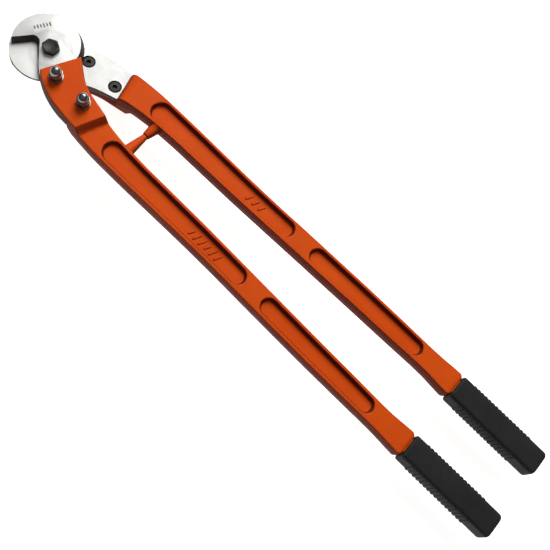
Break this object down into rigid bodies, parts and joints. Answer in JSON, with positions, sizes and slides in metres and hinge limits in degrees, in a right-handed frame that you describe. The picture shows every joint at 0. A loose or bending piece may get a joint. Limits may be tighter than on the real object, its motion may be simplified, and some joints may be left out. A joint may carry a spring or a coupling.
{
  "type": "cable cutter",
  "caption": "Long-handled cable and wire rope cutter, closed: overlapping disc-jawed blades on a pivot bolt, cast handles bolted to their tangs, ribbed rubber grips.",
  "frame": {"origin": "centre of the footprint at the lowest point, the domes of the under side's cap nuts", "axes": "+X from the jaws to the grips along the tool's middle line, +Y towards the handle that swings, +Z along the pivot axis towards the bolt's head"},
  "size_m": [0.9014, 0.1448, 0.0832],
  "materials": {
    "polished_steel": "polished, bright",
    "black_steel": "black oxide, satin",
    "bright_zinc": "bright plated",
    "orange_paint": "satin orange paint on a casting",
    "black_rubber": "matt moulded rubber"
  },
  "bodies": {
    "front_half": {"blade_front": "polished_steel", "handle_front": "orange_paint", "grip_front": "black_rubber", "tang_screw_front_1": "black_steel", "tang_screw_front_2": "black_steel", "cap_washer_front_1": "bright_zinc", "cap_washer_front_2": "bright_zinc", "cap_nut_front_1": "bright_zinc", "cap_nut_front_2": "bright_zinc", "pivot_bolt": "black_steel", "pivot_washer": "bright_zinc", "pivot_nut": "black_steel", "pivot_lock_nut": "black_steel"},
    "back_half": {"blade_back": "polished_steel", "handle_back": "orange_paint", "grip_back": "black_rubber", "tang_screw_back_1": "black_steel", "tang_screw_back_2": "black_steel", "cap_washer_back_1": "bright_zinc", "cap_washer_back_2": "bright_zinc", "cap_nut_back_1": "bright_zinc", "cap_nut_back_2": "bright_zinc"}
  },
  "joints": [
    {"name": "pivot", "type": "hinge", "parent": "front_half", "child": "back_half", "pos_m": [-0.39525, 0, 0.0416], "axis": [0, 0, 1], "range_deg": [0, 110]}
  ]
}
